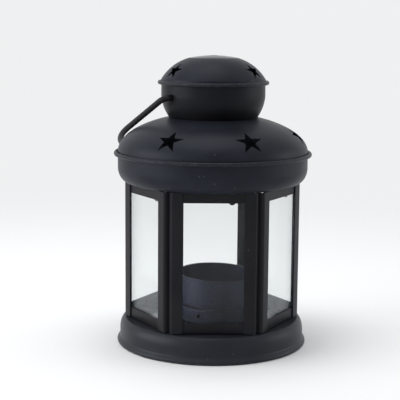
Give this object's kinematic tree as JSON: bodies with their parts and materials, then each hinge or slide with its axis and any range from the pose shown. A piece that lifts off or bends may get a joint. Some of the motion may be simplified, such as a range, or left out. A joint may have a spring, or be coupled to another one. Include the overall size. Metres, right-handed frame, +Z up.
{
  "type": "candle lantern",
  "caption": "Black tin candle lantern with a glazed six-sided frame on a round base pan, a domed roof and chimney with star cut-outs, and a swinging wire bail handle.",
  "frame": {"origin": "centre of the base pan's foot ring on the surface that it stands on", "axes": "+Z up along the axis of base, roof and chimney, -Y out of the front window"},
  "size_m": [0.1, 0.1046, 0.1462],
  "materials": {
    "black_paint": "satin",
    "spring_steel": "dull",
    "window_glass": "polished"
  },
  "bodies": {
    "base": {"base_pan": "black_paint", "cup_pedestal": "black_paint", "candle_cup": "black_paint", "cup_rivets": "spring_steel", "base_clips": "black_paint"},
    "lantern": {"pane_clips": "black_paint", "roof_skirt": "black_paint", "roof_dome": "black_paint", "chimney_bowl": "black_paint", "chimney_cap": "black_paint", "corner_post_1": "black_paint", "corner_post_2": "black_paint", "corner_post_3": "black_paint", "corner_post_4": "black_paint", "corner_post_5": "black_paint", "corner_post_6": "black_paint", "bottom_rail_1": "black_paint", "bottom_rail_2": "black_paint", "bottom_rail_3": "black_paint", "bottom_rail_4": "black_paint", "bottom_rail_5": "black_paint", "bottom_rail_6": "black_paint", "top_rail_1": "black_paint", "top_rail_2": "black_paint", "top_rail_3": "black_paint", "top_rail_4": "black_paint", "top_rail_5": "black_paint", "top_rail_6": "black_paint", "roof_rivets": "spring_steel", "chimney_rivets": "spring_steel", "glass_pane_1": "window_glass", "glass_pane_2": "window_glass", "glass_pane_3": "window_glass", "glass_pane_4": "window_glass", "glass_pane_5": "window_glass", "glass_pane_6": "window_glass"},
    "handle": {"bail_handle": "black_paint"}
  },
  "joints": [
    {"name": "lantern_lift", "type": "slide", "parent": "base", "child": "lantern", "axis": [0, 0, 1], "range_m": [0, 0.1]},
    {"name": "handle_swing", "type": "hinge", "parent": "lantern", "child": "handle", "pos_m": [0, 0, 0.12598], "axis": [0.8018, 0.5976, 0], "range_deg": [0, 237.1]}
  ]
}
